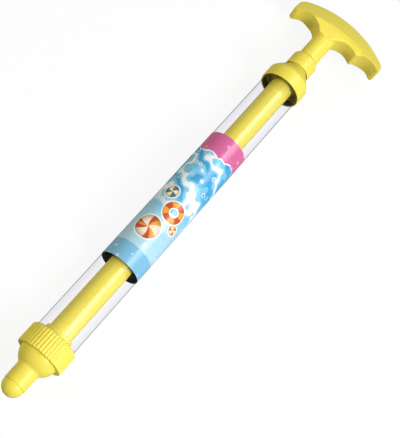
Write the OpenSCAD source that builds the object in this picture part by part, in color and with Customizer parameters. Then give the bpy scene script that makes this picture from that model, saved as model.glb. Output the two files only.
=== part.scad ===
// Plunger water squirter: clear barrel, knurled nozzle nut, yellow plunger and bow handle.
// The barrel axis runs along +X, from the outlet at the origin to the handle. +Z is up.

/* [Barrel] */
// Outside diameter of the clear tube
tube_d = 30; // [29:0.1:31]
// Wall of the clear tube
tube_wall = 1.5; // [1.2:0.1:2]
// Length of the clear tube
tube_len = 268.2; // [230:0.1:340]

/* [Label] */
// Length of the printed film sleeve
label_len = 119.8; // [60:0.1:140]
// From the front end of the tube to the sleeve
label_start = 73.6; // [40:0.1:80]
// Thickness of the film
film_t = 0.2; // [0.1:0.05:0.3]

/* [Nozzle] */
// Diameter of the domed tip
tip_d = 15.4; // [13:0.1:16]
// Diameter of the water outlet
outlet_d = 3.2; // [2:0.1:4]
// Width of the flat ring round the outlet
outlet_land = 0.7; // [0.4:0.1:1.2]
// Diameter of the straight spigot behind the tip
spigot_d = 16; // [14:0.1:18]
// Visible length of the spigot, from the tip's seam to the bulb
spigot_len = 13.6; // [8:0.1:20]
// Diameter of the round bulb
bulb_d = 28.6; // [25:0.1:29]
// Wall of the bulb
bulb_wall = 1.8; // [1.2:0.1:2.5]
// Diameter of the bore through the spigot
spigot_bore_d = 10; // [7:0.1:11]
// Length of the tip's shank inside the spigot
shank_len = 8; // [5:0.1:10]
// Width of the groove that shows between tip and spigot
seam_w = 0.5; // [0.3:0.05:1]
// Thickness of the flange that the nut clamps
flange_t = 2.2; // [1.5:0.1:3]
// Thickness of the rubber washer behind the flange
gasket_t = 0.8; // [0.5:0.1:1.5]

/* [Nozzle nut] */
// Length of the knurled nut
nut_len = 15.9; // [13:0.1:18]
// Diameter of the nut between its ribs
nut_d = 33.6; // [33:0.1:38]
// Number of ribs round the nut
rib_count = 44; // [30:1:60]
// Height of a rib
rib_h = 0.55; // [0.3:0.05:0.7]
// Thickness of the front lip that holds the flange
lip_t = 3.2; // [2.5:0.1:4]
// How far the front face lies ahead of the bulb's centre
nut_lead = 2.4; // [1:0.1:2.5]
// Rounding of the nut's front edge
nut_front_round = 0.7; // [0.3:0.1:1.2]
// Rounding of the nut's rear edge
nut_rear_round = 1.4; // [0.5:0.1:1.6]

/* [Rear cap] */
// Diameter of the smooth rear cap
cap_d = 32.8; // [32:0.1:37]
// Length of the rear cap
cap_len = 20.3; // [19.5:0.1:26]
// How far the tube goes into the cap
cap_depth = 10; // [9.5:0.1:10.5]
// Length of the cap's sloping shoulder
shoulder_len = 10.5; // [8:0.1:11.5]
// Rounding between the cap's drum and its shoulder
shoulder_round = 4; // [2:0.1:6]
// Diameter of the flat end of the cap
cap_end_d = 19.4; // [18.5:0.1:24]
// Wall of the guide sleeve round the rod
guide_wall = 2; // [1.5:0.1:3]
// How far the guide sleeve lies inside the cap's mouth
guide_inset = 8.5; // [4:0.1:9.5]
// Thickness of the dark rubber sleeve between tube and cap
cap_seal_t = 0.45; // [0.3:0.05:0.7]
// Length of the rubber sleeve
cap_seal_len = 5; // [4:0.1:9]
// How far the rubber sleeve lies inside the cap's mouth
cap_seal_inset = 0.3; // [0.2:0.1:1]

/* [Plunger] */
// Outside diameter of the hollow rod
rod_d = 17.5; // [15:0.1:18]
// Wall of the rod
rod_wall = 1.5; // [1:0.1:2]
// Length of the piston head
piston_len = 7.8; // [7.8:0.1:8.4]
// Diameter of the socket hub behind the piston head
hub_d = 20.6; // [18.5:0.1:21]
// Length of the socket hub
hub_len = 5.5; // [3:0.1:10]
// Thickness of the piston's front wall
piston_wall = 3.6; // [2:0.1:4]
// Thickness of a seal ring's round section
seal_d = 2.2; // [1.8:0.1:2.4]

/* [Handle neck] */
// Diameter of the ferrule below the handle
ferrule_d = 20.5; // [19.5:0.1:22]
// Length of the ferrule
ferrule_len = 13.9; // [10:0.1:18]
// Chamfer at the ferrule's upper edge
ferrule_chamfer = 1.2; // [0.5:0.1:2]
// Length of the neck, from the ferrule's rim to the grip
neck_len = 36.1; // [30:0.1:45]
// Gap that shows between the cap and the ferrule
neck_gap = 1.2; // [0.5:0.1:2]
// Diameter of the stem above the ferrule
upper_stem_d = 15.6; // [15:0.1:15.9]

/* [Grip] */
// Height of the bow above its lower edge at the neck
grip_h = 27.6; // [24:0.1:32]
// Thickness of the grip
grip_t = 17; // [16.6:0.1:18]
// Reach of the short arm from the barrel axis
short_arm = 32.9; // [31.5:0.1:36]
// Reach of the long arm from the barrel axis
long_arm = 47.1; // [46:0.1:52]
// Radius of the bow's outer edge
bow_r = 72; // [66:1:90]
// Sideways place of the bow's highest point, towards the long arm
bow_shift = 7.3; // [4:0.1:9]
// Radius of a finger scallop
finger_r = 13.8; // [13:0.1:14.5]
// Height of the crease above the lower edge at the neck
crease_h = 12.7; // [12:0.1:14]
// Radius of the crease
crease_r = 80; // [74:1:110]
// Sideways place of the crease's highest point
crease_shift = 13.2; // [10:0.1:16]
// Width of the flat rail between the crease and the web
rail_w = 0.9; // [0.5:0.1:1.5]
// How far the web stands above the stem
web_rise = 0.2; // [0.15:0.05:0.4]
// Radius of the rounded palm edge
palm_r = 9.5; // [9.2:0.1:12]
// Wall of the grip's half shells
shell_wall = 2.4; // [2:0.1:2.8]
// Height of the hollow inside the grip
hollow_t = 5; // [4:0.1:6.4]
// Diameter of a locating pin between the half shells
dowel_d = 3; // [2:0.1:4]
// Length of a locating pin below the split
dowel_len = 2.6; // [1.5:0.1:4]

/* [Fits] */
// Gap between pieces that are pressed or glued together
glue_gap = 0.05; // [0.03:0.01:0.1]
// Gap between pieces that slide or turn on each other
run_gap = 0.1; // [0.06:0.01:0.15]
// Gap between the rod and the holes that guide it
guide_gap = 0.2; // [0.15:0.01:0.3]
// Gap between faces that stop against each other
stop_gap = 0.5; // [0.3:0.05:0.8]

/* [Hidden] */
$fn = 96;
yellow = "#efe070";
clear = [0.9, 0.95, 1, 0.3];
film_blue = "#7cc8ea";
dark_rubber = "#2b2c2a";

// One overrun serves all cuts
cut = tube_wall;

// Nozzle, from the outlet at zero
tip_r = tip_d / 2;
outlet_r = outlet_d / 2;
land_r = outlet_r + outlet_land;
spigot_r = spigot_d / 2;
spigot_bore_r = spigot_bore_d / 2;
bulb_r = bulb_d / 2;
seam_x = sqrt(tip_r * tip_r - land_r * land_r);
spigot_x = seam_x + seam_w;
bulb_x = seam_x + spigot_len + sqrt(bulb_r * bulb_r - spigot_r * spigot_r);
shank_r = spigot_bore_r - glue_gap;

// Nut, flange, washer and the front end of the tube
tube_r = tube_d / 2;
tube_in_r = tube_r - tube_wall;
nut_x = bulb_x - nut_lead;
flange_x = nut_x + lip_t + run_gap;
gasket_x = flange_x + flange_t;
tube_x = gasket_x + gasket_t + run_gap;
nut_end_x = nut_x + nut_len;
nut_bore_r = tube_r + run_gap;
lip_r = bulb_r + run_gap;
nut_r = nut_d / 2;

// Piston head, seals and rod
piston_x = tube_x + stop_gap;
piston_r = tube_in_r - guide_gap;
piston_end_x = piston_x + piston_len;
hub_end_x = piston_end_x + hub_len;
groove_w = seal_d + 2 * run_gap;
land_w = (piston_len - 2 * groove_w) / 3;
seal_r = seal_d / 2;
seal_mid_r = tube_in_r - glue_gap - seal_r;
groove_r = seal_mid_r - seal_r - glue_gap;
seal_mid_x = [piston_x + land_w + groove_w / 2, piston_end_x - land_w - groove_w / 2];
rod_r = rod_d / 2;
rod_in_r = rod_r - rod_wall;
rod_x = piston_x + piston_wall + glue_gap;

// Rear cap and its rubber sleeve
tube_end_x = tube_x + tube_len;
cap_x = tube_end_x - cap_depth;
cap_end_x = cap_x + cap_len;
cap_r = cap_d / 2;
cap_end_r = cap_end_d / 2;
cap_bore_r = tube_r + glue_gap;
guide_r = rod_r + guide_gap;
guide_x = cap_x + guide_inset;
cap_seal_x = cap_x + cap_seal_inset;
cap_seal_end_x = cap_seal_x + cap_seal_len;
cap_seal_r = cap_bore_r + cap_seal_t;

// Ferrule and neck
ferrule_x = cap_end_x + neck_gap;
ferrule_end_x = ferrule_x + ferrule_len;
ferrule_r = ferrule_d / 2;
rod_end_x = ferrule_end_x - ferrule_chamfer - rod_wall;
stem_r = rod_in_r - glue_gap;
stem_x = ferrule_x;
upper_stem_r = upper_stem_d / 2;
neck_x = ferrule_x + neck_len;

// Grip: places along the barrel axis are counted from the lower edge at the neck
half_t = grip_t / 2;
web_z = upper_stem_r + web_rise;
bow_x = neck_x + grip_h - bow_r;
// The outline is drawn a little outside the bow, which the rounded palm edge then cuts back
outline_r = bow_r + cut / 3;
crease_x = neck_x + crease_h - crease_r;
// Sideways places of the three scallops, as shares of the arm that they lie on
scallop_shares = [0.585, -0.358, -0.771];
scallop_arms = [short_arm, long_arm, long_arm];
// Heights of the scallops' tops, as shares of the grip's height
scallop_rise_shares = [0.245, 0.274, 0.359];
scallop_y = [for (i = [0 : 2]) scallop_shares[i] * scallop_arms[i]];
scallop_x = [for (i = [0 : 2]) neck_x + scallop_rise_shares[i] * grip_h - finger_r];
// Heights of the blunt arm tips, as shares of the grip's height
tip_rise_shares = [0.072, 0.264];
tip_x = [for (share = tip_rise_shares) neck_x + share * grip_h];
// Roundings of the arm ends, as shares of the grip's height
end_round_shares = [0.326, 0.254];
end_round = [for (share = end_round_shares) share * grip_h];
// How far the palm side narrows from the crease outwards, as a share of its run
palm_slope_share = 0.45;
// Places of the locating pins: along each arm and up the grip, as shares
dowel_arm_shares = [0.78, 0, -0.86];
dowel_rise_shares = [0.45, 0.66, 0.5];
dowel_arms = [short_arm, long_arm, long_arm];
dowel_spots = [
    for (i = [0 : 2])
        [neck_x + dowel_rise_shares[i] * grip_h, dowel_arm_shares[i] * dowel_arms[i]]
];
arc_steps = 12;

plunger_travel = guide_x - hub_end_x - stop_gap;
nut_travel = nut_end_x - tube_x;
echo(plunger_travel = plunger_travel, nut_travel = nut_travel, length = neck_x + grip_h);

// Turns a profile of [distance along the axis, radius] points about the barrel axis
module turned(points) {
    rotate([0, 90, 0])
        rotate_extrude()
            polygon([for (p = points) [p[1], p[0]]]);
}

// A round bar along the barrel axis
module bar(from, to, r) {
    translate([from, 0, 0])
        rotate([0, 90, 0])
            cylinder(h = to - from, r = r);
}

// A round bar with a bore right through it
module pipe(from, to, r, bore_r) {
    difference() {
        bar(from, to, r);
        bar(from - cut, to + cut, bore_r);
    }
}

module ball(x, r) {
    translate([x, 0, 0])
        sphere(r = r);
}

// Domed tip with the outlet and a shank that is glued into the spigot
module nozzle_tip() {
    color(yellow)
        difference() {
            union() {
                intersection() {
                    ball(seam_x, tip_r);
                    bar(0, seam_x, tip_r + cut);
                }
                bar(seam_x, spigot_x, spigot_bore_r + seam_w);
                bar(spigot_x, spigot_x + shank_len, shank_r);
            }
            bar(-cut, spigot_x + shank_len + cut, outlet_r);
        }
}

// Spigot, bulb, short skirt and the flange that the nut holds
module nozzle_body() {
    color(yellow)
        difference() {
            union() {
                bar(spigot_x + glue_gap, bulb_x, spigot_r);
                intersection() {
                    ball(bulb_x, bulb_r);
                    bar(bulb_x - bulb_r - cut, bulb_x, bulb_r + cut);
                }
                bar(bulb_x, flange_x + glue_gap, bulb_r);
                bar(flange_x, gasket_x, tube_r);
            }
            bar(-cut, bulb_x, spigot_bore_r);
            ball(bulb_x, bulb_r - bulb_wall);
            bar(bulb_x, gasket_x + cut, bulb_r - bulb_wall);
        }
}

// Flat rubber washer between the flange and the end of the tube
module nozzle_gasket() {
    color(dark_rubber)
        pipe(gasket_x, gasket_x + gasket_t, tube_r, tube_in_r - tube_wall);
}

// Outline across the nut: a round body with half-round ribs
module nut_outline() {
    circle(r = nut_r);
    for (i = [0 : rib_count - 1])
        rotate(i * 360 / rib_count)
            translate([nut_r, 0])
                circle(r = rib_h);
}

// Knurled nut that draws the nozzle's flange on to the tube
module nozzle_nut() {
    rib_r = nut_r + rib_h;
    color(yellow)
        difference() {
            intersection() {
                translate([nut_x, 0, 0])
                    rotate([0, 90, 0])
                        linear_extrude(nut_len)
                            nut_outline();
                turned([
                    [nut_x, 0],
                    [nut_x, rib_r - nut_front_round],
                    [nut_x + nut_front_round, rib_r + cut / arc_steps],
                    [nut_end_x - nut_rear_round, rib_r + cut / arc_steps],
                    [nut_end_x, rib_r - nut_rear_round],
                    [nut_end_x, 0]
                ]);
            }
            bar(nut_x - cut, nut_x + lip_t + cut, lip_r);
            bar(nut_x + lip_t, nut_end_x + cut, nut_bore_r);
        }
}

// Clear outer tube
module barrel_tube() {
    color(clear)
        pipe(tube_x, tube_end_x, tube_r, tube_in_r);
}

// Printed film wrapped round the tube
module label_sleeve() {
    film_in_r = tube_r + glue_gap;
    color(film_blue)
        pipe(tube_x + label_start, tube_x + label_start + label_len, film_in_r + film_t, film_in_r);
}

// Smooth cap with a sloping shoulder and a guide sleeve for the rod, which also stops the piston's hub
module rear_cap() {
    shoulder_x = cap_end_x - shoulder_len;
    shoulder_rise = cap_r - cap_end_r;
    // The rounding turns until it points at the edge of the flat end
    below = shoulder_rise - shoulder_round;
    slope = 90 + atan2(below, shoulder_len) - acos(shoulder_round / norm([shoulder_len, below]));
    color(yellow)
        difference() {
            turned([
                [cap_x, 0],
                [cap_x, cap_r],
                for (i = [0 : arc_steps])
                    [
                        shoulder_x + shoulder_round * sin(slope * i / arc_steps),
                        cap_r - shoulder_round * (1 - cos(slope * i / arc_steps))
                    ],
                [cap_end_x, cap_end_r],
                [cap_end_x, 0]
            ]);
            pipe(cap_x - cut, tube_end_x + glue_gap, cap_bore_r, guide_r + guide_wall);
            pipe(cap_x - cut, cap_seal_end_x + glue_gap, cap_seal_r + glue_gap, tube_in_r);
            bar(cap_x - cut, guide_x, cap_bore_r);
            bar(cap_x - cut, cap_end_x + cut, guide_r);
        }
}

// Dark rubber sleeve that seals the cap on the tube
module cap_seal() {
    color(dark_rubber)
        pipe(cap_seal_x, cap_seal_end_x, cap_seal_r, cap_bore_r);
}

// Piston head with two seal grooves and a socket for the rod
module piston_head() {
    socket_r = rod_r + glue_gap;
    color(yellow)
        difference() {
            union() {
                bar(piston_x, piston_end_x, piston_r);
                bar(piston_x, hub_end_x, hub_d / 2);
            }
            for (x = seal_mid_x)
                pipe(x - groove_w / 2, x + groove_w / 2, piston_r + cut, groove_r);
            bar(piston_x + piston_wall, hub_end_x + cut, socket_r);
        }
}

module seal_ring(x) {
    color(dark_rubber)
        translate([x, 0, 0])
            rotate([0, 90, 0])
                rotate_extrude()
                    translate([seal_mid_r, 0])
                        circle(r = seal_r);
}

module piston_seal_front() {
    seal_ring(seal_mid_x[0]);
}

module piston_seal_rear() {
    seal_ring(seal_mid_x[1]);
}

// Hollow rod from the piston's socket to the ferrule
module rod_tube() {
    color(yellow)
        pipe(rod_x, rod_end_x, rod_r, rod_in_r);
}

// Sleeve that covers the joint of rod and handle
module neck_ferrule() {
    lip_x = rod_end_x + glue_gap;
    color(yellow)
        difference() {
            turned([
                [ferrule_x, 0],
                [ferrule_x, ferrule_r],
                [ferrule_end_x - ferrule_chamfer, ferrule_r],
                [ferrule_end_x, ferrule_r - ferrule_chamfer],
                [ferrule_end_x, 0]
            ]);
            bar(ferrule_x - cut, lip_x, rod_r + glue_gap);
            bar(ferrule_x - cut, ferrule_end_x + cut, stem_r + glue_gap);
        }
}

// Points along an arc of a circle; an open arc leaves its last point to the next arc
function arc(centre, r, from, to, open = false) = [
    for (i = [0 : arc_steps - (open ? 1 : 0)])
        let (a = from + (to - from) * i / arc_steps)
            [centre[0] + r * cos(a), centre[1] + r * sin(a)]
];

// Centre of an arm end's rounding, which touches the bow from inside
function end_centre(i, side, reach) =
    let (
        y = side * (reach - end_round[i]),
        run = outline_r - end_round[i]
    )
        [bow_x + sqrt(run * run - (y + bow_shift) * (y + bow_shift)), y];

// Direction from the bow's centre to a point
function bow_angle(p) = atan2(p[1] + bow_shift, p[0] - bow_x);

// Outline of the grip seen from above, drawn in all round by an inset
module grip_outline(inset) {
    short_end = end_centre(0, 1, short_arm);
    long_end = end_centre(1, -1, long_arm);
    low = [tip_x[0] + inset, neck_x + inset, tip_x[1] + inset];
    difference() {
        polygon(concat(
            arc([bow_x, -bow_shift], outline_r - inset, bow_angle(long_end), bow_angle(short_end), true),
            arc(short_end, end_round[0] - inset, bow_angle(short_end), 90),
            [
                [low[0], short_arm - inset],
                [low[0], scallop_y[0]],
                [low[1], scallop_y[0]],
                [low[1], scallop_y[2]],
                [low[2], scallop_y[2]],
                [low[2], inset - long_arm]
            ],
            arc(long_end, end_round[1] - inset, -90, bow_angle(long_end), true)
        ));
        for (i = [0 : 2])
            translate([scallop_x[i], scallop_y[i]])
                circle(r = finger_r + inset);
    }
}

// Bulk of the grip: sunk webs, rails, sloping palm sides and a rounded palm edge
module grip_bulk() {
    over_z = half_t + cut / 2;
    palm_run = half_t / palm_slope_share;
    over_run = over_z / palm_slope_share;
    difference() {
        intersection() {
            linear_extrude(grip_t, center = true)
                grip_outline(0);
            translate([crease_x, -crease_shift, 0])
                rotate_extrude()
                    polygon([
                        [0, -over_z],
                        [crease_r + palm_run - over_run, -over_z],
                        [crease_r + palm_run, 0],
                        [crease_r + palm_run - over_run, over_z],
                        [0, over_z]
                    ]);
            translate([bow_x, -bow_shift, 0])
                rotate_extrude()
                    union() {
                        translate([0, -over_z])
                            square([bow_r - palm_r, 2 * over_z]);
                        translate([bow_r - palm_r, 0])
                            circle(r = palm_r);
                    }
        }
        for (side = [-1, 1])
            translate([crease_x, -crease_shift, side * (web_z + half_t)])
                cylinder(h = grip_t, r = crease_r - rail_w, center = true);
    }
}

// Grip and stem as one hollow form, before it is split
module grip_form() {
    boss_r = (dowel_d + shell_wall) / 2;
    hollow_run = (half_t - hollow_t / 2 - shell_wall) / palm_slope_share;
    difference() {
        union() {
            grip_bulk();
            bar(stem_x, neck_x + shell_wall, stem_r);
            bar(ferrule_end_x + glue_gap, neck_x + 2 * shell_wall, upper_stem_r);
        }
        difference() {
            linear_extrude(hollow_t, center = true)
                intersection() {
                    grip_outline(shell_wall);
                    translate([crease_x, -crease_shift])
                        circle(r = crease_r + hollow_run);
                }
            for (p = dowel_spots)
                translate([p[0], p[1], -half_t])
                    cylinder(h = grip_t, r = boss_r);
        }
        bar(stem_x - cut, neck_x + 2 * shell_wall, stem_r - shell_wall);
    }
}

// Half of the form on one side of the split; side is 1 for the top and 0 for the bottom
module grip_half(side) {
    intersection() {
        grip_form();
        translate([stem_x - cut, -long_arm - cut, (side - 1) * grip_t])
            cube([neck_x + grip_h - stem_x + 2 * cut, long_arm + short_arm + 2 * cut, grip_t]);
    }
}

// Upper half shell, with the locating pins
module grip_top_shell() {
    color(yellow) {
        grip_half(1);
        for (p = dowel_spots)
            translate([p[0], p[1], -dowel_len])
                cylinder(h = dowel_len + shell_wall, r = dowel_d / 2);
    }
}

// Lower half shell, with the sockets for the pins
module grip_bottom_shell() {
    color(yellow)
        difference() {
            grip_half(0);
            for (p = dowel_spots)
                translate([p[0], p[1], -dowel_len - glue_gap])
                    cylinder(h = dowel_len + cut, r = dowel_d / 2 + glue_gap);
        }
}

nozzle_tip();
nozzle_body();
nozzle_gasket();
nozzle_nut();
barrel_tube();
label_sleeve();
rear_cap();
cap_seal();
piston_head();
piston_seal_front();
piston_seal_rear();
rod_tube();
neck_ferrule();
grip_top_shell();
grip_bottom_shell();
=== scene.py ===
# %% [markdown]
# # A plunger water squirter
# The toy is a clear tube with a yellow pump inside it. A knurled nut holds the nozzle at one end, a smooth
# cap guides the rod at the other, and a bow-shaped grip pulls and pushes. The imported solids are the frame:
# they give every size and every motion. This lesson dresses them with rounder edges, a finer knurl, a
# printed sleeve and real finishes, piece by piece, along the barrel from the nozzle to the grip.

# %% Load the frame
import math

import bmesh
import bpy
import numpy as np
from mathutils import Matrix, Vector


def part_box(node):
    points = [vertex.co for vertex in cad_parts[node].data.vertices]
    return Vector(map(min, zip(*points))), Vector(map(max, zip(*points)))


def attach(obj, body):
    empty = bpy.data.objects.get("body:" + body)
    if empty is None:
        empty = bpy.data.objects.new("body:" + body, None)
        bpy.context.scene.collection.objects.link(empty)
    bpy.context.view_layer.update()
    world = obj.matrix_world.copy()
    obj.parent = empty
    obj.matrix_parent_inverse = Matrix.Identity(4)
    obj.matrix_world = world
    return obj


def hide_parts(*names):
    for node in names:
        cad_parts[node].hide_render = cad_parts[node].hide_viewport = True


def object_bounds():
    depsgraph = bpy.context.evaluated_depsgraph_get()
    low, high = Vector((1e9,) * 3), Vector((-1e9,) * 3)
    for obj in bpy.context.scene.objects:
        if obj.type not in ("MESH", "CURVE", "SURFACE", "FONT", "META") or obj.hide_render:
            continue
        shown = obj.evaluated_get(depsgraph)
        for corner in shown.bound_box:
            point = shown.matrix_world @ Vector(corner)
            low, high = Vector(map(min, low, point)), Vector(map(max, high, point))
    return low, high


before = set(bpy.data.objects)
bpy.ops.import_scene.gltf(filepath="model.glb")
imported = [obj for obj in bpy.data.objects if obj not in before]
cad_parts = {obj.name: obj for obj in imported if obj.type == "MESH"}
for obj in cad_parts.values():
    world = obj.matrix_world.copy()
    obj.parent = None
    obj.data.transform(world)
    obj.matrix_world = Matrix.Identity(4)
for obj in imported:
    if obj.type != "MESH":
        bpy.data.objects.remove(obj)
cad_low, cad_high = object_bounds()
MM = 0.001
FIT = 0.05

# %% [markdown]
# ## Reading sizes from the solids
# A dressed piece has to sit where its solid sits. Typing the places in again would drift as soon as a size
# changes, so each station along the barrel is read from the box of a solid. The barrel axis is X, so a box
# gives a piece's start, its end and its outer radius. Glued and seated pieces stay apart by FIT
# millimetres.


# %% Stations along the barrel
def reach(node):
    """Start, end and outer radius of a solid, in millimetres."""
    low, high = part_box(node)
    return low.x / MM, high.x / MM, high.z / MM


tip_x, shank_end, tip_r = reach("nozzle_tip")
body_x, flange_end, flange_r = reach("nozzle_body")
nut_x, nut_end, nut_r = reach("nozzle_nut")
tube_x, tube_end, tube_r = reach("barrel_tube")
sleeve_x, sleeve_end, sleeve_r = reach("label_sleeve")
cap_x, cap_end, cap_r = reach("rear_cap")
seal_x, seal_end, seal_r = reach("cap_seal")
piston_x, hub_end, piston_r = reach("piston_head")
rod_x, rod_end, rod_r = reach("rod_tube")
collar_x, collar_end, collar_r = reach("neck_ferrule")
print("outlet", round(tip_x, 2), "tube", round(tube_x, 1), "to", round(tube_end, 1))
print("cap end", round(cap_end, 1), "collar end", round(collar_end, 1))

# %% [markdown]
# ## Finishes
# A finish is a small tree of shader nodes. Moulded plastic is never one flat colour: its pigment drifts a
# little, its gloss is cloudy, and its skin has a faint ripple from the mould. Small helpers keep the trees
# short: they turn a screen colour into a shader's colour, start a finish, add a noise, mix two colours,
# stretch a value, and let a height tilt the light.


# %% Helpers for finishes
def paint(red, green, blue):
    """A colour as it is seen on a screen, turned into the linear values that a shader takes."""
    seen = [c / 255 for c in (red, green, blue)]
    return [c / 12.92 if c <= 0.04045 else ((c + 0.055) / 1.055) ** 2.4 for c in seen] + [1]


def new_finish(name):
    """A new material, its nodes, its links and its main shader."""
    finish = bpy.data.materials.new(name)
    finish.use_nodes = True
    nodes = finish.node_tree.nodes
    return finish, nodes, finish.node_tree.links, nodes["Principled BSDF"]


def cloud(nodes, links, place, size, detail=3):
    """A noise whose features are about size metres across."""
    noise = nodes.new("ShaderNodeTexNoise")
    noise.inputs["Scale"].default_value = 1 / size
    noise.inputs["Detail"].default_value = detail
    links.new(place, noise.inputs["Vector"])
    return noise.outputs["Fac"]


def mixed(nodes, links, share, first, second):
    """Two colours mixed by a share; each is a plain colour or a socket."""
    mix = nodes.new("ShaderNodeMix")
    mix.data_type = "RGBA"
    for socket, value in ((mix.inputs[0], share), (mix.inputs[6], first), (mix.inputs[7], second)):
        if isinstance(value, bpy.types.NodeSocket):
            links.new(value, socket)
        else:
            socket.default_value = value
    return mix.outputs[2]


def spread(nodes, links, value, low, high, start=0.35, stop=0.65, smooth=False):
    """A value between start and stop stretched to lie between low and high."""
    stretch = nodes.new("ShaderNodeMapRange")
    stretch.interpolation_type = "SMOOTHSTEP" if smooth else "LINEAR"
    links.new(value, stretch.inputs["Value"])
    for name, number in (("From Min", start), ("From Max", stop), ("To Min", low), ("To Max", high)):
        stretch.inputs[name].default_value = number
    return stretch.outputs["Result"]


def ripple(nodes, links, shader, height, strength, distance):
    """Lets a height value tilt the light on the surface."""
    bump = nodes.new("ShaderNodeBump")
    bump.inputs["Strength"].default_value = strength
    bump.inputs["Distance"].default_value = distance
    links.new(height, bump.inputs["Height"])
    links.new(bump.outputs["Normal"], shader.inputs["Normal"])


# %% [markdown]
# ## Yellow moulded plastic
# Nozzle, nut, cap, rod and grip are one lemon-yellow plastic. The pigment is a little deeper in soft clouds
# a few centimetres wide and in fine specks, the gloss varies in smaller clouds, and a faint ripple moves
# the highlights. A trace of light runs under the skin of such plastic, which a low subsurface weight gives.
# The rod is extruded, so its skin is smoother than that of the mouldings, and it gets a glossier copy of
# the same finish.


# %% Yellow finish
def lemon(name, shiny, dull, mirror):
    """Yellow plastic whose roughness drifts between shiny and dull."""
    pigment_size, speck_size, gloss_size, ripple_size = 0.03, 0.0012, 0.006, 0.005
    finish, nodes, links, shader = new_finish(name)
    place = nodes.new("ShaderNodeTexCoord").outputs["Object"]
    pigment = cloud(nodes, links, place, pigment_size)
    tint = mixed(nodes, links, pigment, paint(237, 219, 82), paint(243, 228, 95))
    grain = cloud(nodes, links, place, speck_size, detail=2)
    speck = spread(nodes, links, grain, low=0, high=0.2, start=0.6, stop=0.75)
    links.new(mixed(nodes, links, speck, tint, paint(228, 207, 75)), shader.inputs["Base Color"])
    gloss = spread(nodes, links, cloud(nodes, links, place, gloss_size), low=shiny, high=dull)
    links.new(gloss, shader.inputs["Roughness"])
    shader.inputs["Specular IOR Level"].default_value = mirror
    shader.inputs["Subsurface Weight"].default_value = 0.08
    shader.inputs["Subsurface Radius"].default_value = (0.003, 0.002, 0.0006)
    swell = cloud(nodes, links, place, ripple_size, detail=1)
    ripple(nodes, links, shader, swell, strength=0.03, distance=0.0004)
    print("finish:", name)
    return finish


yellow = lemon("lemon_plastic", shiny=0.3, dull=0.38, mirror=0.28)
sleek = lemon("lemon_rod", shiny=0.2, dull=0.26, mirror=0.7)

# %% [markdown]
# ## Clear barrel plastic
# A thin clear wall is nearly invisible where the eye looks straight through it, and it turns grey where the
# eye looks along it. A bending glass shader would do this too, but it needs many light paths and darkens
# what is inside. Here a Layer Weight node tells how steeply the wall is seen. It tints a Transparent shader
# towards the edges, and mixes in more gloss there. Only the outer skin does so, which is known by its
# distance from the barrel axis. The tube is extruded, so its faint streaks run along the barrel: a Mapping
# node draws them by stretching a noise along X.

# %% Clear finish: streaks, steepness and the outer skin
streak_size, skin_from, skin_to = 0.003, tube_r - 1.2, tube_r - 0.4
clear, nodes, links, shader = new_finish("clear_plastic")
place = nodes.new("ShaderNodeTexCoord").outputs["Object"]
stretched = nodes.new("ShaderNodeMapping")
stretched.inputs["Scale"].default_value = (0.03, 1, 1)
links.new(place, stretched.inputs["Vector"])
streak = cloud(nodes, links, stretched.outputs["Vector"], streak_size, detail=1)
steep = nodes.new("ShaderNodeLayerWeight").outputs["Facing"]
across = nodes.new("ShaderNodeVectorMath")
across.operation = "MULTIPLY"
links.new(place, across.inputs[0])
across.inputs[1].default_value = (0, 1, 1)
radius = nodes.new("ShaderNodeVectorMath")
radius.operation = "LENGTH"
links.new(across.outputs["Vector"], radius.inputs[0])
outside = spread(nodes, links, radius.outputs["Value"], low=0, high=1, start=skin_from * MM,
                 stop=skin_to * MM)
print("outer skin beyond", round(skin_from, 2), "mm")

# %% Clear finish: tint and gloss
pale = spread(nodes, links, steep, low=0, high=1, start=0.2, stop=0.8)
grey = spread(nodes, links, steep, low=0, high=1, start=0.72, stop=0.92)
tint = mixed(nodes, links, pale, paint(255, 255, 255), paint(245, 245, 250))
tint = mixed(nodes, links, grey, tint, paint(172, 174, 186))
see_through = nodes.new("ShaderNodeBsdfTransparent")
links.new(mixed(nodes, links, outside, paint(254, 254, 254), tint), see_through.inputs["Color"])
gloss = nodes.new("ShaderNodeBsdfGlossy")
links.new(spread(nodes, links, streak, low=0.22, high=0.28), gloss.inputs["Roughness"])
ripple(nodes, links, gloss, streak, strength=0.01, distance=0.0002)
glossy = nodes.new("ShaderNodeMath")
glossy.operation = "MULTIPLY"
links.new(outside, glossy.inputs[0])
links.new(spread(nodes, links, steep, low=0.015, high=0.2, start=0.6, stop=1, smooth=True), glossy.inputs[1])
both = nodes.new("ShaderNodeMixShader")
links.new(glossy.outputs[0], both.inputs[0])
links.new(see_through.outputs[0], both.inputs[1])
links.new(gloss.outputs[0], both.inputs[2])
links.new(both.outputs[0], nodes["Material Output"].inputs["Surface"])
nodes.remove(shader)
print("finish:", clear.name)

# %% [markdown]
# ## Dark rubber
# The sleeve in the cap's mouth, the piston's seals and the nozzle's washer are dark rubber with a dull,
# finely pitted skin. Its olive-grey tone is set to the shade inside the cap's mouth, so on the sleeve there
# it is painted shade. The solids of the seals and the washer already have the right shape, so they only get
# this finish.

# %% Rubber finish, also painted shade in the cap's mouth
rubber_and_shade, nodes, links, shader = new_finish("dark_rubber")
place = nodes.new("ShaderNodeTexCoord").outputs["Object"]
pit_size = 0.0008
grain = cloud(nodes, links, place, pit_size)
# Painted shade: this olive-grey is the tone of the shade inside the cap's mouth, worn by the sleeve there.
links.new(mixed(nodes, links, grain, paint(84, 78, 56), paint(104, 98, 72)), shader.inputs["Base Color"])
links.new(spread(nodes, links, grain, low=0.55, high=0.75), shader.inputs["Roughness"])
ripple(nodes, links, shader, grain, strength=0.25, distance=0.0002)
for node in ("piston_seal_front", "piston_seal_rear", "nozzle_gasket"):
    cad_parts[node].data.materials.clear()
    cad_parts[node].data.materials.append(rubber_and_shade)
print("finish:", rubber_and_shade.name)

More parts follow.
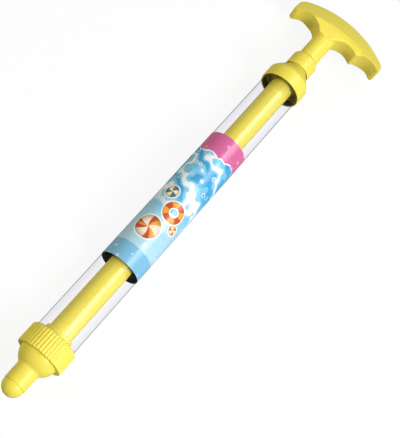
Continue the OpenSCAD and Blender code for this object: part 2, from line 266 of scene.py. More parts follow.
# %% [markdown]
# ## Turning a piece on a lathe
# Nearly every piece of a squirter is round, so it can be turned: draw half a cross-section as a wire, round
# its corners, and spin it about the barrel axis. The wire is closed, so the spun skin is a closed wall with
# an inside and an outside. Rounding the corners of the wire with a vertex bevel is easier than bevelling
# the finished rings, and it leaves even quads.


# %% Lathe helpers
def turned(corners, steps=96):
    """Spins a closed wire of (x, radius, rounding) corners, in millimetres, about the barrel axis."""
    bm = bmesh.new()
    wire = [bm.verts.new((x * MM, 0, r * MM)) for x, r, _ in corners]
    for start, stop in zip(wire, wire[1:] + wire[:1]):
        bm.edges.new((start, stop))
    for vert, (_, _, rounding) in zip(wire, corners):
        if rounding:
            bmesh.ops.bevel(bm, geom=[vert], offset=rounding * MM, offset_type="OFFSET", segments=4,
                            profile=0.5, affect="VERTICES", material=-1)
    bmesh.ops.spin(bm, geom=bm.verts[:] + bm.edges[:], cent=(0, 0, 0), axis=(1, 0, 0), angle=math.tau,
                   steps=steps, use_merge=True)
    bmesh.ops.remove_doubles(bm, verts=bm.verts[:], dist=1e-6)
    bmesh.ops.recalc_face_normals(bm, faces=bm.faces[:])
    return bm


def arc(x, r, radius, start, stop, steps):
    """Corners on an arc about (x, r); angles in degrees from the X axis."""
    angles = [math.radians(start + (stop - start) * i / steps) for i in range(steps + 1)]
    return [(x + radius * math.cos(a), r + radius * math.sin(a), 0) for a in angles]


def finished(bm, name, finish, body, slot, *nodes, crisp=40):
    """Makes the object, smooths it except at crisp edges, and sets it on its body in place of its solids."""
    mesh = bpy.data.meshes.new(name)
    bm.to_mesh(mesh)
    bm.free()
    mesh.materials.append(finish)
    mesh.shade_smooth()
    mesh.set_sharp_from_angle(angle=math.radians(crisp))
    piece = bpy.data.objects.new(name, mesh)
    bpy.context.scene.collection.objects.link(piece)
    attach(piece, body)
    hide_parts(*nodes)
    print(name, "faces:", len(mesh.polygons))
    return piece


# %% [markdown]
# ## Nozzle tip
# The tip is a dome with a small outlet, glued into the spigot, and a fine groove shows where the two meet.
# A dome could start from a sphere, but the outlet and the groove would have to be cut into it. On the lathe
# they are just corners of the wire.

# %% Turn the tip
outlet_r, rim_w, shank_r = 1.6, 0.5, 4.9
seam_w, seam_run, seam_depth, glue = 0.55, 0.35, 0.45, 0.02
seam_x, groove_x, seat_x = body_x - seam_w, body_x - seam_run, body_x - glue
dome = arc(seam_x, 0, tip_r, start=162.6, stop=90, steps=16)
bm = turned([(tip_x, outlet_r, 0.25), (tip_x, outlet_r + rim_w, 0)] + dome
            + [(groove_x, tip_r - seam_depth, 0.12), (seat_x, tip_r - seam_depth, 0), (seat_x, shank_r, 0),
               (shank_end, shank_r, 0.2), (shank_end, outlet_r, 0.2)])
finished(bm, "domed_tip", yellow, "nozzle", "yellow_plastic", "nozzle_tip")

# %% [markdown]
# ## Nozzle body
# Behind the tip a straight spigot swells into a round bulb, which ends in the flange under the nut. The
# hollow inside follows the outside, as in any moulding with an even wall. A small hollow fillet joins
# spigot and bulb: on the wire it is one more rounded corner.

# %% Turn the nozzle body
spigot_r, bulb_r, wall, shank_bore = 8.0, 14.3, 1.8, 5.0
bulb_inset, hollow_len, flange_t, fillet, fillet_turn = 2.4, 11.5, 2.2, 1.3, 8
bulb_x, flange_x = nut_x + bulb_inset, flange_end - flange_t
meet = math.degrees(math.asin(spigot_r / bulb_r))
bulb = arc(bulb_x, 0, bulb_r, start=180 - meet - fillet_turn, stop=90, steps=16)
hollow = arc(bulb_x, 0, bulb_r - wall, start=90, stop=156, steps=12)
bm = turned([(body_x, shank_bore, 0.2), (body_x, spigot_r, 0.45)]
            + [(bulb_x - bulb_r * math.cos(math.radians(meet)), spigot_r, fillet)] + bulb
            + [(flange_x, bulb_r, 0.3), (flange_x, flange_r, 0.3), (flange_end, flange_r, 0.3),
               (flange_end, bulb_r - wall, 0)]
            + hollow + [(bulb_x - hollow_len, shank_bore, 0.3)])
finished(bm, "bulb_nozzle", yellow, "nozzle", "yellow_plastic", "nozzle_body")

# %% [markdown]
# ## Knurled nut
# The nut's fine ribs run its whole length and fade out on its rounded edges. A rib could be one bar copied
# round, but bars would leave seams and loose faces. Instead the nut is turned with eight steps to a rib,
# and the outer skin is then pressed into waves: each point moves in or out by where it lies round the nut,
# and never past the rounded envelope.

# %% Turn the nut and press its ribs
ribs, rib_h, rib_shape, steps_per_rib = 44, 0.45, 0.8, 8
lip, front_round, rear_round = 3.2, 0.8, 2.2
bulb_play, thread_play, bore_skin = 0.15, 0.1, 0.4
straight_x, straight_end, parts = nut_x + front_round, nut_end - rear_round, 6
hole_r, thread_r = bulb_r + bulb_play, tube_r + thread_play
skin = [(nut_x, nut_r - front_round, 0)]
skin += arc(straight_x, nut_r - front_round, front_round, start=165, stop=90, steps=5)
skin += [(straight_x + (straight_end - straight_x) * i / parts, nut_r, 0) for i in range(1, parts)]
skin += arc(straight_end, nut_r - rear_round, rear_round, start=90, stop=0, steps=7)
bm = turned([(nut_x, hole_r, 0.2)] + skin
            + [(nut_end, thread_r, 0.3), (nut_x + lip, thread_r, 0), (nut_x + lip, hole_r, 0)],
            steps=ribs * steps_per_rib)
for vert in bm.verts:
    radius = math.hypot(vert.co.y, vert.co.z)
    if radius < (tube_r + bore_skin) * MM:
        continue
    wave = 0.5 + 0.5 * math.cos(ribs * math.atan2(vert.co.y, vert.co.z))
    ribbed = (nut_r - rib_h * (1 - wave ** rib_shape)) * MM
    if ribbed < radius:
        vert.co.y *= ribbed / radius
        vert.co.z *= ribbed / radius
finished(bm, "knurled_nut", yellow, "nut", "yellow_plastic", "nozzle_nut", crisp=60)

# %% [markdown]
# ## Clear barrel
# A length of extruded tube with lightly broken edges. It is a real wall with two skins, so that its edge
# shows how thick it is. The clear finish tells the skins apart by their distance from the axis.

# %% Turn the barrel
tube_wall, broken, fine_steps = 1.5, 0.3, 128
tube_in = tube_r - tube_wall
bm = turned([(tube_x, tube_in, broken), (tube_x, tube_r, broken), (tube_end, tube_r, broken),
             (tube_end, tube_in, broken)], steps=fine_steps)
finished(bm, "clear_barrel", clear, "barrel", "clear_plastic", "barrel_tube")

# %% [markdown]
# ## Printed sleeve
# A film is wrapped round the middle of the barrel. Its outside carries the print, and its back is painted a
# greyish navy as painted shade: it stands for the shade inside the sleeve, which shows through the tube as
# two crescents. The film is turned like the rest. The print needs a flat map, so each face is unrolled: one
# direction runs round the barrel, the other along it, both counted in millimetres, which makes every motif in
# the print easy to size.

# %% Turn the sleeve and unroll its map
film_in = tube_r + FIT
bm = turned([(sleeve_x, film_in, 0), (sleeve_x, sleeve_r, 0), (sleeve_end, sleeve_r, 0),
             (sleeve_end, film_in, 0)], steps=fine_steps)
flat = bm.loops.layers.uv.new("unrolled")
for face in bm.faces:
    middle = face.calc_center_median()
    turn = math.atan2(-middle.y, middle.z)
    for loop in face.loops:
        own = math.atan2(-loop.vert.co.y, loop.vert.co.z)
        own += math.tau * round((turn - own) / math.tau)
        loop[flat].uv = (own * sleeve_r, loop.vert.co.x / MM - sleeve_x)
    outward = Vector((0, middle.y, middle.z)).normalized()
    face.material_index = 0 if face.normal.dot(outward) > 0.5 else 1
print("sleeve map: round", round(math.tau * sleeve_r, 1), "mm, along", round(sleeve_end - sleeve_x, 1), "mm")

# %% [markdown]
# ## The print on the sleeve
# The print is a plain beach pattern: a pale blue ground that turns into swirling water, beach balls, swim
# rings and bubbles, a blue band at the nozzle end and a pink band at the handle end. Each motif is a
# distance on the unrolled map, turned into a mask by a Map Range node, so it stays sharp at any size.

# %% Print: ways to draw on the map
printed, nodes, links, shader = new_finish("sleeve_print")
unrolled = nodes.new("ShaderNodeUVMap")
unrolled.uv_map = "unrolled"
sheet = unrolled.outputs["UV"]
axes = nodes.new("ShaderNodeSeparateXYZ")
links.new(sheet, axes.inputs["Vector"])
around, along = axes.outputs["X"], axes.outputs["Y"]


def sums(kind, first, second=0):
    """One Math node in the tree that is being made; each side is a number or a socket."""
    node = nodes.new("ShaderNodeMath")
    node.operation = kind
    for socket, value in zip(node.inputs, (first, second)):
        if isinstance(value, bpy.types.NodeSocket):
            links.new(value, socket)
        else:
            socket.default_value = value
    return node.outputs[0]


def wave_edge(level, height, count, shift):
    """How far a point lies beyond a wavy line that runs round the barrel, in millimetres."""
    swing = sums("SINE", sums("ADD", sums("MULTIPLY", around, count / sleeve_r), shift))
    return sums("SUBTRACT", sums("ADD", along, sums("MULTIPLY", swing, height)), level)


def inked(colour, share, hue):
    """A flat colour printed over the others where a share is 1."""
    return mixed(nodes, links, share, colour, paint(*hue))


def mask(value, start, stop):
    """Rises from 0 to 1 between start and stop; falls when start is the larger one."""
    if start > stop:
        return spread(nodes, links, value, low=1, high=0, start=stop, stop=start)
    return spread(nodes, links, value, low=0, high=1, start=start, stop=stop)


# %% Print: ground and swirling water
ink = mixed(nodes, links, mask(along, start=15, stop=75), paint(178, 218, 234), paint(142, 206, 234))
swirl = nodes.new("ShaderNodeTexWave")
swirl.bands_direction = "DIAGONAL"
for name, number in (("Scale", 0.022), ("Distortion", 9), ("Detail", 2), ("Detail Scale", 2.2)):
    swirl.inputs[name].default_value = number
links.new(sheet, swirl.inputs["Vector"])
flow = swirl.outputs["Fac"]
near_beach = mask(wave_edge(level=52, height=5, count=2, shift=1), start=-14, stop=8)
off_shore = mask(wave_edge(level=60, height=6, count=3, shift=2), start=-4, stop=10)
in_surf = mask(wave_edge(level=50, height=5, count=2, shift=1), start=-14, stop=8)
ripples = sums("MULTIPLY", near_beach, mask(flow, start=0.62, stop=0.5))
deep = sums("MULTIPLY", off_shore, mask(flow, start=0.3, stop=0.2))
crest = sums("MULTIPLY", in_surf, mask(flow, start=0.8, stop=0.9))
ink = inked(ink, sums("MULTIPLY", ripples, 0.85), (110, 192, 230))
ink = inked(ink, sums("MULTIPLY", deep, 0.9), (58, 158, 212))
ink = inked(ink, sums("MULTIPLY", crest, 0.95), (240, 249, 252))
print("water nodes:", len(nodes))

# %% Print: ways to draw balls and rings
rim_hue, rim_out, rim_in, face_out, face_in = (248, 251, 250), 0.9, 0.6, 0.1, 0.2


def centred(middle):
    """Distance from a spot on the map and direction round it."""
    shift = nodes.new("ShaderNodeVectorMath")
    shift.operation = "SUBTRACT"
    links.new(sheet, shift.inputs[0])
    shift.inputs[1].default_value = (middle[0], middle[1], 0)
    length = nodes.new("ShaderNodeVectorMath")
    length.operation = "LENGTH"
    links.new(shift.outputs["Vector"], length.inputs[0])
    sides = nodes.new("ShaderNodeSeparateXYZ")
    links.new(shift.outputs["Vector"], sides.inputs["Vector"])
    return length.outputs["Value"], sums("ARCTAN2", sides.outputs["Y"], sides.outputs["X"])


def framed(colour, face, far, size):
    """A face printed over the rest where far is less than size, with a pale rim round it."""
    colour = inked(colour, mask(far, start=size + rim_out, stop=size + rim_in), rim_hue)
    return mixed(nodes, links, mask(far, start=size + face_out, stop=size - face_in), colour, face)


def beach_ball(colour, middle, radius, hues):
    """A ball with curved panels in three colours."""
    panels_of_two, curl, lag, soft = 3, 1.1, 0.8, 0.08
    far, way = centred(middle)
    panels = sums("ADD", sums("MULTIPLY", way, panels_of_two), sums("MULTIPLY", far, curl / radius))
    half = sums("ADD", sums("MULTIPLY", panels, 0.5), lag)
    face = mixed(nodes, links, mask(sums("SINE", half), -soft, soft), paint(*hues[0]), paint(*hues[1]))
    face = inked(face, mask(sums("SINE", panels), -soft, soft), hues[2])
    face = inked(face, mask(far, start=0.55 * radius, stop=1.25 * radius), (120, 84, 52))
    return framed(colour, face, far, radius)


def swim_ring(colour, middle, radius, hues):
    """A flat ring with eight blocks in two colours."""
    blocks_of_two, soft, ring_r, ring_half = 4, 0.1, 0.72 * radius, 0.28 * radius
    far, way = centred(middle)
    off_ring = sums("ABSOLUTE", sums("SUBTRACT", far, ring_r))
    blocks = mask(sums("SINE", sums("MULTIPLY", way, blocks_of_two)), -soft, soft)
    face = mixed(nodes, links, blocks, paint(*hues[0]), paint(*hues[1]))
    face = inked(face, mask(off_ring, start=0.12 * radius, stop=0.4 * radius), (150, 92, 50))
    return framed(colour, face, off_ring, ring_half)


# %% Print: bubbles, balls and swim rings
bubble_pitch, bubble_r = 8, 0.17
cells = nodes.new("ShaderNodeTexVoronoi")
cells.inputs["Scale"].default_value = 1 / bubble_pitch
links.new(sheet, cells.inputs["Vector"])
off_bubble = sums("ABSOLUTE", sums("SUBTRACT", cells.outputs["Distance"], bubble_r))
bubble = mask(off_bubble, start=0.055, stop=0.03)
ink = inked(ink, sums("MULTIPLY", bubble, 0.7), (246, 251, 253))
red, cream, gold, leaf, teal = (206, 78, 46), (250, 236, 212), (240, 172, 62), (92, 132, 58), (44, 128, 176)
balls = (((-4, 30), 9, (red, gold, cream)), ((-8, 61), 5, (leaf, teal, cream)),
         ((11, 40), 3.5, (gold, red, cream)), ((33, 34), 8, (red, teal, cream)),
         ((-33, 58), 7, (leaf, gold, cream)), ((-28, 26), 4, (teal, gold, cream)))
rings = (((3, 49), 8, (red, gold)), ((28, 66), 7, (leaf, cream)), ((-44, 36), 8, (red, cream)))
for middle, radius, hues in balls:
    ink = beach_ball(ink, middle, radius, hues)
for middle, radius, hues in rings:
    ink = swim_ring(ink, middle, radius, hues)
print("balls:", len(balls), "swim rings:", len(rings))

# %% Print: end bands and gloss
dot_pitch, band_w, band_edge, splash_x, splash_h = 7, 14, 0.3, 103, 1.6
gloss_size, swell_size = 4, 12
dots = nodes.new("ShaderNodeTexVoronoi")
dots.inputs["Scale"].default_value = 1 / dot_pitch
dots.inputs["Randomness"].default_value = 0.25
links.new(sheet, dots.inputs["Vector"])
dot = mask(dots.outputs["Distance"], start=0.17, stop=0.14)
front = mask(along, start=band_w, stop=band_w - band_edge)
ink = inked(ink, front, (124, 188, 220))
ink = inked(ink, sums("MULTIPLY", front, sums("MULTIPLY", dot, 0.7)), (244, 226, 236))
jagged = spread(nodes, links, flow, low=-splash_h, high=splash_h, start=0.2, stop=0.8)
splash = sums("ADD", wave_edge(level=splash_x, height=splash_h, count=5, shift=0), jagged)
ink = inked(ink, mask(splash, start=-1.1, stop=-0.7), (244, 250, 253))
rear = mask(splash, start=0, stop=0.4)
ink = inked(ink, rear, (214, 104, 158))
ink = inked(ink, sums("MULTIPLY", rear, sums("MULTIPLY", dot, 0.55)), (246, 206, 224))
links.new(ink, shader.inputs["Base Color"])
gloss = spread(nodes, links, cloud(nodes, links, sheet, gloss_size), low=0.2, high=0.3)
links.new(gloss, shader.inputs["Roughness"])
swell = cloud(nodes, links, sheet, swell_size, detail=1)
ripple(nodes, links, shader, swell, strength=0.04, distance=0.001)
print("print nodes:", len(nodes))

# %% [markdown]
# ## The back of the sleeve: painted shade
# The back of the film is painted a greyish navy that stands for the shade inside the sleeve. It is a little
# cloudy in soft patches.

# %% Painted shade on the back of the sleeve, and the finished sleeve
shade_cloud_size = 0.008
painted_shade_back, nodes, links, shader = new_finish("sleeve_back_painted_shade")
place = nodes.new("ShaderNodeTexCoord").outputs["Object"]
shade_cloud = cloud(nodes, links, place, shade_cloud_size)
# Painted shade: the greyish navy of the film's back stands for the shade inside the sleeve, seen through the
# tube.
links.new(mixed(nodes, links, shade_cloud, paint(54, 68, 88), paint(74, 90, 110)), shader.inputs["Base Color"])
links.new(spread(nodes, links, shade_cloud, low=0.35, high=0.5), shader.inputs["Roughness"])
sleeve = finished(bm, "printed_sleeve", printed, "barrel", "printed_film", "label_sleeve")
sleeve.data.materials.append(painted_shade_back)

# %% [markdown]
# ## Rear cap
# The cap grips the tube's end and guides the rod. From outside it is a plain drum with a soft shoulder.
# Inside it has a sleeve for the tube and a hole for the rod. The shoulder is an arc that turns until it
# points at the edge of the flat end, and a straight slope from there.

# %% Turn the rear cap
guide_r, guide_wall, guide_inset = 8.95, 2.0, 8.5
end_r, shoulder, bend = 9.7, 10.5, 4.0
guide_x, shoulder_x = cap_x + guide_inset, cap_end - shoulder
below = cap_r - end_r - bend
turn = 90 + math.degrees(math.atan2(below, shoulder) - math.acos(bend / math.hypot(shoulder, below)))
seat_r, bore_r, seat_end, stop_x = seal_r + FIT, tube_r + FIT, seal_end + FIT, tube_end + FIT
slope = arc(shoulder_x, cap_r - bend, bend, start=90, stop=90 - turn, steps=12) + [(cap_end, end_r, 0.4)]
bm = turned([(cap_x, seat_r, 0.15), (cap_x, cap_r, 0.4)] + slope
            + [(cap_end, guide_r, 0.2), (guide_x, guide_r, 0.2), (guide_x, guide_r + guide_wall, 0.2),
               (stop_x, guide_r + guide_wall, 0), (stop_x, bore_r, 0), (seat_end, bore_r, 0),
               (seat_end, seat_r, 0)])
finished(bm, "shoulder_cap", yellow, "barrel", "yellow_plastic", "rear_cap")

# %% [markdown]
# ## Rubber sleeve in the cap: painted shade
# A thin dark rubber sleeve seals the cap on the tube. Its darkness is painted shade: it stands for the shade
# inside the cap's mouth, and shows as a dark line round the mouth of the cap, and through the tube as two
# dark patches beside the rod.

# %% Turn the rubber sleeve, painted shade in the cap's mouth
# Painted shade: the dark sleeve stands for the shade inside the cap's mouth.
bm = turned([(seal_x, bore_r, 0.1), (seal_x, seal_r, 0.15), (seal_end, seal_r, 0.1), (seal_end, bore_r, 0.1)])
finished(bm, "mouth_shade_seal", rubber_and_shade, "barrel", "dark_rubber", "cap_seal")

# %% [markdown]
# ## Piston and rod
# The piston head carries two seals in grooves and holds the hollow rod in a socket, whose hub shows behind
# the nut. The rod is a plain tube. Both are turned.

# %% Turn the piston and the rod
seals = [reach(node) for node in ("piston_seal_front", "piston_seal_rear")]
piston_len, hub_r, core_r, seal_t, rod_wall = 7.8, 10.3, 1.0, 2.3, 1.5
piston_end, groove_r = piston_x + piston_len, seals[0][2] - seal_t
socket_x, socket_r, rod_in = rod_x - FIT, rod_r + FIT, rod_r - rod_wall
wire = [(piston_x, core_r, 0), (piston_x, piston_r, 0.4)]
for seal_start, seal_stop, _ in seals:
    start, stop = seal_start - FIT, seal_stop + FIT
    wire += [(start, piston_r, 0.15), (start, groove_r, 0.15), (stop, groove_r, 0.15), (stop, piston_r, 0.15)]
wire += [(piston_end, piston_r, 0.4), (piston_end, hub_r, 0.4), (hub_end, hub_r, 0.5),
         (hub_end, socket_r, 0.2), (socket_x, socket_r, 0), (socket_x, core_r, 0)]
finished(turned(wire), "piston_cup", yellow, "plunger", "yellow_plastic", "piston_head")
bm = turned([(rod_x, rod_in, 0.2), (rod_x, rod_r, 0.2), (rod_end, rod_r, 0.2), (rod_end, rod_in, 0.2)])
finished(bm, "push_rod", sleek, "plunger", "yellow_plastic", "rod_tube")

# %% [markdown]
# ## Neck collar
# A short collar covers the joint of rod and grip, and steps down to the stem with a soft bevel. Its front
# is hollowed to a thin rim, so the gap between the cap and the collar reads as a dark line.

# %% Turn the collar
stem_r, upper_r, stem_play = 7.2, 7.8, 0.06
recess, inner_rim, mouth_rim, bevel_run, bevel_drop = 4, 0.7, 0.6, 2.2, 2.0
recess_x, joint_x, stem_bore = collar_x + recess, rod_end + FIT, stem_r + stem_play
bm = turned([(recess_x, socket_r, 0), (recess_x, collar_r - inner_rim, 0.2),
             (collar_x, collar_r - mouth_rim, 0.2), (collar_x, collar_r, 0.3),
             (collar_end - bevel_run, collar_r, 0.8), (collar_end, collar_r - bevel_drop, 0.5),
             (collar_end, stem_bore, 0), (joint_x, stem_bore, 0), (joint_x, socket_r, 0)])
finished(bm, "neck_collar", yellow, "plunger", "yellow_plastic", "neck_ferrule")

# %% [markdown]
# ## Bow grip: its outline
# The grip is a flat bow with three finger scallops, one on the short arm and two on the long arm. Seen from
# above, its lower edge is a row of circles and its upper edge one long arc with rounded ends. For every
# place across the grip the two edges give a start and an end, so the grip can be lofted from slices. A
# little averaging softens the points between the scallops.

# %% Outline of the grip
grip_low = Vector(map(min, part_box("grip_top_shell")[0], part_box("grip_bottom_shell")[0])) / MM
grip_high = Vector(map(max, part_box("grip_top_shell")[1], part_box("grip_bottom_shell")[1])) / MM
short_arm, long_arm, top_x, half_t = grip_high.y, -grip_low.y, grip_high.x, grip_high.z
grip_h, bow_r, bow_shift, finger_r = 27.6, 72.0, 7.3, 13.8
neck_x, bow_x = top_x - grip_h, top_x - bow_r
hollows = ((0.245, 0.585, short_arm), (0.274, -0.358, long_arm), (0.359, -0.771, long_arm))
scallops = [(rise * grip_h, place * arm) for rise, place, arm in hollows]
tip_rises = (0.072 * grip_h, 0.264 * grip_h)
ends = ((0.326 * grip_h, 1, short_arm), (0.254 * grip_h, -1, long_arm))


def upper_edge(y):
    """Where the palm side of the outline lies, along the barrel."""
    x = bow_x + math.sqrt(bow_r ** 2 - (y + bow_shift) ** 2)
    for rounding, side, arm in ends:
        across = side * (arm - rounding)
        run = bow_r - rounding
        along_x = bow_x + math.sqrt(run ** 2 - (across + bow_shift) ** 2)
        touch = -bow_shift + (across + bow_shift) * bow_r / run
        if side * y > side * touch:
            x = along_x + math.sqrt(max(rounding ** 2 - (y - across) ** 2, 0))
    return x


def raw_lower_edge(y):
    """The finger side of the outline, with sharp points between the scallops."""
    base = neck_x + (tip_rises[0] if y > scallops[0][1] else tip_rises[1] if y < scallops[2][1] else 0)
    curves = [neck_x + rise - finger_r + math.sqrt(max(finger_r ** 2 - (y - middle) ** 2, 0))
              for rise, middle in scallops if abs(y - middle) < finger_r]
    return max([base] + curves)


def lower_edge(y):
    """The finger side of the outline, averaged over a millimetre and a half."""
    shifts = (-0.8, -0.4, 0, 0.4, 0.8)
    share = 1 / len(shifts)
    return sum(share * raw_lower_edge(y + shift) for shift in shifts)


print("grip: from", round(-long_arm, 1), "to", round(short_arm, 1), "mm across, top at", round(top_x, 1))

# %% [markdown]
# ## Bow grip: its slices
# A slice runs from the finger side, over the flat web, through a shallow groove, up a small step to the
# rail, down the sloping palm side and round the nose, and back underneath. Towards the arm ends the web
# runs out, and the step fades with it. The corners are rounded in the same way for every slice, so each
# slice has the same number of points. A grid of faces then takes these slices as its rows: one direction of
# the grid runs across the arms, the other round the slice.

# %% One slice of the grip
crease_r, crease_shift, crease_h = 80.0, 13.2, 12.7
crease_x = neck_x + crease_h - crease_r
rail_w, web_lift, groove, groove_w, step_w = 0.9, 0.2, 0.35, 1.2, 0.1
web_z = upper_r + web_lift
web_fade, least_web, least_rail = 1.5, 0.9, 0.5
palm_slope, least_nose = 0.45, 1
seam_in, seam_near, seam_far = 0.08, 0.12, 0.4
roundings = (1.1, 0.4, 0.2, 0.3, 0.5, 1.6)


def softened(before, corner, after, rounding, steps):
    """Points on a small curve that replaces a corner and takes up less than half of each side."""
    most, tiny = 0.45, 1e-9
    a, c, b = (np.array(p, float) for p in (before, corner, after))
    cut = min(rounding, most * np.linalg.norm(a - c), most * np.linalg.norm(b - c))
    start = c + (a - c) / max(np.linalg.norm(a - c), tiny) * cut
    stop = c + (b - c) / max(np.linalg.norm(b - c), tiny) * cut
    shares = np.linspace(0, 1, steps)
    return [(1 - t) ** 2 * start + 2 * t * (1 - t) * c + t ** 2 * stop for t in shares]


def slice_points(y, shrink):
    """The upper half of a slice at y, drawn in all round by shrink, from finger side to nose."""
    low, high = lower_edge(y) + shrink, upper_edge(y) - shrink
    ridge = crease_x + math.sqrt(crease_r ** 2 - (y + crease_shift) ** 2)
    web_room = ridge - rail_w - low

    def palm(x):
        """Height of the palm side, which slopes down behind the ridge."""
        return half_t - shrink - palm_slope * max(x - ridge, 0)

    fade = min(max(web_room / web_fade, 0), 1)
    fade = fade * fade * (3 - 2 * fade)
    step_x = max(ridge - rail_w, low + least_web)
    rail_x = max(ridge, step_x + least_rail)
    rim = fade * (web_z - shrink) + (1 - fade) * palm(low)
    foot = fade * (web_z - groove - shrink) + (1 - fade) * palm(step_x)
    brink_x = low + max(0.5 * (step_x - low), step_x - low - groove_w)
    brink = fade * (web_z - shrink) + (1 - fade) * palm(brink_x)
    corners = [(low, 0), (low, rim), (brink_x, brink), (step_x, foot), (step_x + step_w, palm(step_x)),
               (rail_x, palm(rail_x)), (high, max(palm(high), least_nose)), (high, 0)]
    points = [np.array(p) for p in ((low + seam_in, 0), (low, seam_near), (low, seam_far))]
    for i, rounding in enumerate(roundings, 1):
        points += softened(corners[i - 1], corners[i], corners[i + 1], rounding, steps=6)
    return points + [np.array(p) for p in ((high, seam_far), (high, seam_near), (high - seam_in, 0))]


half_slice = slice_points(0, 0)
print("points in half a slice:", len(half_slice))

# %% [markdown]
# The slices lie closer together near the arm ends, where the outline turns quickly. On the last millimetre
# each slice shrinks on a quarter circle, which rounds the rims of the flat arm ends.

# %% Loft the grip from its slices
end_round, end_run, end_rows, inner_rows = 1.2, 9, 24, 140
insets = [end_run * (1 - math.cos(math.radians(90 * i / end_rows))) for i in range(end_rows + 1)]
rows = [-long_arm + inset for inset in insets] + [short_arm - inset for inset in insets]
rows += list(np.linspace(-long_arm + end_run, short_arm - end_run, inner_rows)[1:-1])
rows.sort()
bm = bmesh.new()
loop_size = 2 * len(half_slice) - 2
bmesh.ops.create_grid(bm, x_segments=len(rows) - 1, y_segments=loop_size, size=0.5)
bm.verts.ensure_lookup_table()
order = sorted(bm.verts, key=lambda v: (round(v.co.x, 5), round(v.co.y, 5)))
for number, vert in enumerate(order):
    row, spot = divmod(number, loop_size + 1)
    y = rows[row]
    depth = max(end_round - min(short_arm - y, y + long_arm), 0)
    shrink = end_round - math.sqrt(max(end_round ** 2 - depth ** 2, 0))
    if spot == 0:
        half = slice_points(y, shrink)
        full = half + [np.array((p[0], -p[1])) for p in half[-2:0:-1]] + [half[0]]
    x, z = full[spot]
    vert.co = (x * MM, y * MM, z * MM)
bmesh.ops.remove_doubles(bm, verts=bm.verts[:], dist=1e-6)
bmesh.ops.holes_fill(bm, edges=[e for e in bm.edges if e.is_boundary], sides=0)
bmesh.ops.recalc_face_normals(bm, faces=bm.faces[:])
print("grip slices:", len(rows), "open edges:", sum(e.is_boundary for e in bm.edges))

# %% [markdown]
# ## Bow grip: stem
# The round stem plugs into the rod, is thicker above the collar and runs a little way into the web. It is
# turned like the other round pieces and joined to the bow by a Boolean modifier, so that the two become one
# skin.

# %% Turn the stem and join it to the bow
stem_wall, stem_reach, crisp_angle = 2.4, 6, 50
stem_x, stem_in, thick_x, stem_top = grip_low.x, stem_r - stem_wall, collar_end + FIT, neck_x + stem_reach
stem = turned([(stem_x, stem_in, 0.2), (stem_x, stem_r, 0.3), (thick_x, stem_r, 0), (thick_x, upper_r, 0.5),
               (stem_top, upper_r, 0), (stem_top, stem_in, 0)])
blank = finished(stem, "stem_blank", yellow, "plunger", "yellow_plastic")
bow = bpy.data.meshes.new("bow_grip")
bm.to_mesh(bow)
bm.free()
bow.materials.append(yellow)
grip = bpy.data.objects.new("bow_grip", bow)
bpy.context.scene.collection.objects.link(grip)
join = grip.modifiers.new("stem", "BOOLEAN")
join.operation = "UNION"
join.solver = "EXACT"
join.object = blank
bpy.context.view_layer.update()
joined = bpy.data.meshes.new_from_object(grip.evaluated_get(bpy.context.evaluated_depsgraph_get()))
grip.modifiers.clear()
grip.data = joined
bpy.data.objects.remove(blank)
joined.shade_smooth()
joined.set_sharp_from_angle(angle=math.radians(crisp_angle))
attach(grip, "plunger")
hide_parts("grip_top_shell", "grip_bottom_shell")
print("bow_grip faces:", len(joined.polygons))

# %% [markdown]
# ## Floor
# The squirter lies on a plain white table. The floor shows mostly its own white to the eye, so that it
# stays white without more light, and a share of real shading keeps a soft shadow. It throws less light back
# than it shows, or the finger scallops would be lit from below.

# %% Floor: the table
middle = Vector((0.19, 0, 0))
floor_r = 4
bm = bmesh.new()
bmesh.ops.create_circle(bm, cap_ends=True, segments=64, radius=floor_r)
bmesh.ops.translate(bm, verts=bm.verts[:], vec=(middle.x, 0, cad_low.z))
mesh = bpy.data.meshes.new("table")
bm.to_mesh(mesh)
bm.free()
table = bpy.data.objects.new("table", mesh)
bpy.context.scene.collection.objects.link(table)
print("floor at", round(cad_low.z / MM, 2), "mm")

# %% Floor: its white
thrown, shown, own_light = 0.35, 0.9, 0.9
white, nodes, links, shader = new_finish("white_table")
shader.inputs["Roughness"].default_value = 0.8
glow = nodes.new("ShaderNodeEmission")
glow.inputs["Color"].default_value = (1, 1, 1, 1)
rays = nodes.new("ShaderNodeLightPath")
direct = sums("MAXIMUM", rays.outputs["Is Camera Ray"], rays.outputs["Is Transmission Ray"])
tone = mixed(nodes, links, direct, (thrown, thrown, thrown, 1), (shown, shown, shown, 1))
links.new(tone, shader.inputs["Base Color"])
blend = nodes.new("ShaderNodeMixShader")
links.new(sums("MULTIPLY", direct, own_light), blend.inputs[0])
links.new(shader.outputs[0], blend.inputs[1])
links.new(glow.outputs[0], blend.inputs[2])
links.new(blend.outputs[0], nodes["Material Output"].inputs["Surface"])
mesh.materials.append(white)
print("finish:", white.name)

# %% [markdown]
# ## Light
# The light is soft. A wide lamp above the long arm's side is the key. A low, slightly warm one lifts the
# far side, and it is hidden from reflections so that it draws no streak. A strip along the barrel and a
# wider card draw the long highlights on the round pieces, and the card shows only in reflections. A dim
# world fills the rest. The eye sees the world as white, so that the table has no edge.

# %% World and lamps
dim, in_mirrors = 0.15, 0.4
world = bpy.data.worlds.new("studio")
bpy.context.scene.world = world
world.use_nodes = True
nodes, links = world.node_tree.nodes, world.node_tree.links
sky = nodes["Background"]
sky.inputs["Color"].default_value = (1, 1, 1, 1)
rays = nodes.new("ShaderNodeLightPath")
mirrored = spread(nodes, links, rays.outputs["Is Glossy Ray"], low=dim, high=in_mirrors, start=0, stop=1)
links.new(sums("MAXIMUM", mirrored, rays.outputs["Is Camera Ray"]), sky.inputs["Strength"])


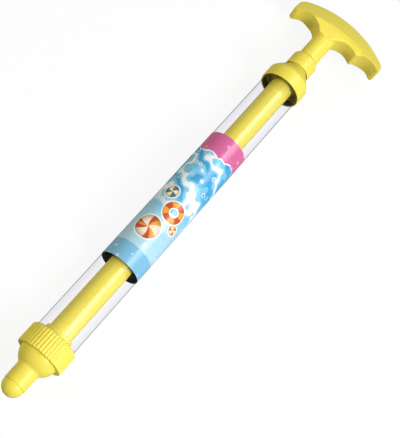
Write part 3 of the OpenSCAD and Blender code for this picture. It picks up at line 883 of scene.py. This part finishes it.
def lamp(name, direction, distance, size, power, width=None):
    """A soft lamp that shines at the middle of the barrel; with a width it is a strip along the barrel."""
    data = bpy.data.lights.new(name, "AREA")
    data.shape = "DISK" if width is None else "RECTANGLE"
    data.size = size
    data.size_y = width or size
    data.energy = power
    lit = bpy.data.objects.new(name, data)
    away = Vector(direction).normalized()
    side = Vector((1, 0, 0)) - away * away.x
    side.normalize()
    lit.matrix_world = Matrix((side, away.cross(side), away)).transposed().to_4x4()
    lit.location = middle + away * distance
    bpy.context.scene.collection.objects.link(lit)
    print(name, "at", [round(v, 2) for v in lit.location])
    return lit


lamp("key", (-0.2, -0.7, 0.68), distance=1.3, size=0.5, power=15)
fill = lamp("fill", (-0.2, 0.85, 0.45), distance=1.5, size=1.0, power=9)
fill.data.color = (1, 0.92, 0.74)
fill.visible_glossy = False
lamp("strip", (0.4, -0.33, 0.86), distance=1.3, size=1.0, power=4.5, width=0.4)
card = lamp("card", (0.4, -0.45, 0.8), distance=1.3, size=1.4, power=11, width=0.7)
card.visible_diffuse = False

# %% [markdown]
# ## Camera
# The camera looks down the barrel from the nozzle's side and is rolled, so that the squirter runs across
# the picture from corner to corner. Its place and directions come from matching the barrel's edges and the
# grip's span. The picture is 400 by 438, and the focal length is 1000 of its pixels.

# %% Camera
picture_h, focal_px, sensor = 438, 1000, 36
eye = Vector((-0.1007, -0.0188, 0.62925))
right, up = Vector((0.6043, -0.7514, 0.2649)), Vector((0.6881, 0.6599, 0.3018))
lens = bpy.data.cameras.new("camera")
lens.sensor_fit = "VERTICAL"
lens.sensor_height = sensor
lens.lens = sensor * focal_px / picture_h
lens.clip_start = 0.01
camera = bpy.data.objects.new("camera", lens)
back = right.cross(up).normalized()
up = back.cross(right).normalized()
turned_to = Matrix((right.normalized(), up, back)).transposed().to_4x4()
camera.matrix_world = Matrix.Translation(eye) @ turned_to
bpy.context.scene.collection.objects.link(camera)
bpy.context.scene.camera = camera
bpy.context.scene.view_settings.view_transform = "Standard"
print("camera at", [round(v, 3) for v in camera.location])
